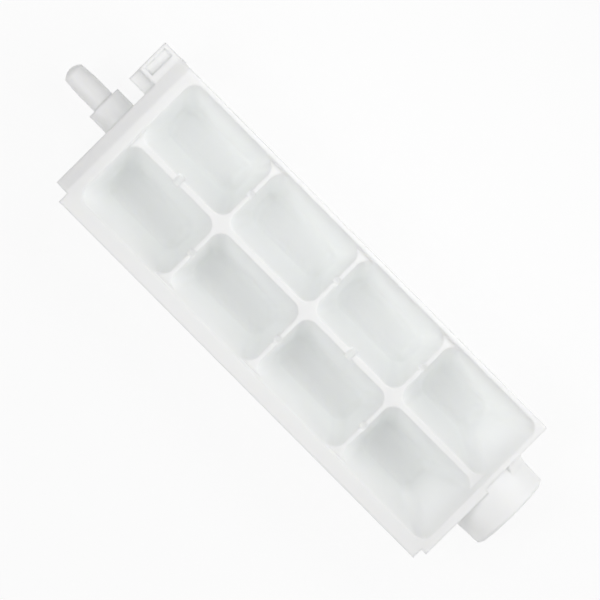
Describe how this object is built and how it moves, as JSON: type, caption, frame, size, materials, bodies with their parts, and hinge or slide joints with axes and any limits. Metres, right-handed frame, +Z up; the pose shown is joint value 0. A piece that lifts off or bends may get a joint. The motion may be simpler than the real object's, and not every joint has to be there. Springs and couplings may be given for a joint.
{
  "type": "ice maker tray",
  "caption": "Moulded twist-type ice maker tray with drafted cavities, level weirs, a pivot pin and stop lug at the free end and a keyed drive hub at the other.",
  "frame": {"origin": "on the turning axis, where the pivot pin meets its collar", "axes": "+X along the turning axis from the pivot pin to the drive hub, +Z up out of the open cavities"},
  "size_m": [0.21, 0.0621, 0.032],
  "materials": {
    "natural_plastic": "satin, natural milky white"
  },
  "bodies": {
    "root": {"ice_tray": "natural_plastic"}
  },
  "joints": []
}
